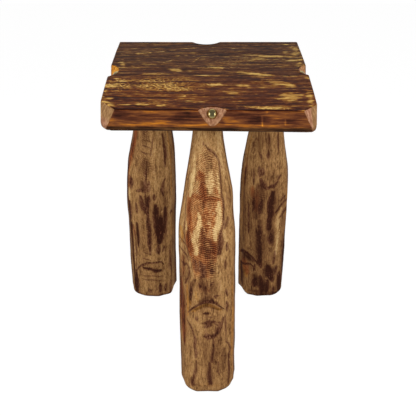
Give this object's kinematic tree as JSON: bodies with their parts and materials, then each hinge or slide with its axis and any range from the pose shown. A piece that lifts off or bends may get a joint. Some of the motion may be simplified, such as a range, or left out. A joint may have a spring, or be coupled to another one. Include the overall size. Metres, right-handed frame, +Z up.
{
  "type": "rustic hickory table",
  "caption": "Small rustic side table: a thick hewn slab top with scooped edges and brass dome nails, on tapered pole legs with blind wedged tenons.",
  "frame": {"origin": "on the floor, under the middle of the table's bounding box", "axes": "+Z up; the single front leg on the -Y side; +X to the right of someone facing it"},
  "size_m": [0.4124, 0.4802, 0.66],
  "materials": {
    "slab_wood": "dark stain worn through to gold along the grain, under clear gloss varnish",
    "leg_wood": "peeled hickory with dark inner bark left in patches, under clear gloss varnish",
    "wedge_wood": "bare split hardwood",
    "dome_brass": "polished, lightly aged",
    "nail_steel": "plain drawn wire"
  },
  "bodies": {
    "root": {"top_slab": "slab_wood", "leg_front": "leg_wood", "leg_back_left": "leg_wood", "leg_back_right": "leg_wood", "wedge_front": "wedge_wood", "wedge_back_left": "wedge_wood", "wedge_back_right": "wedge_wood", "boss_cap_front": "dome_brass", "boss_cap_right": "dome_brass", "boss_cap_back": "dome_brass", "boss_cap_left": "dome_brass", "boss_nail_front": "nail_steel", "boss_nail_right": "nail_steel", "boss_nail_back": "nail_steel", "boss_nail_left": "nail_steel"}
  },
  "joints": []
}
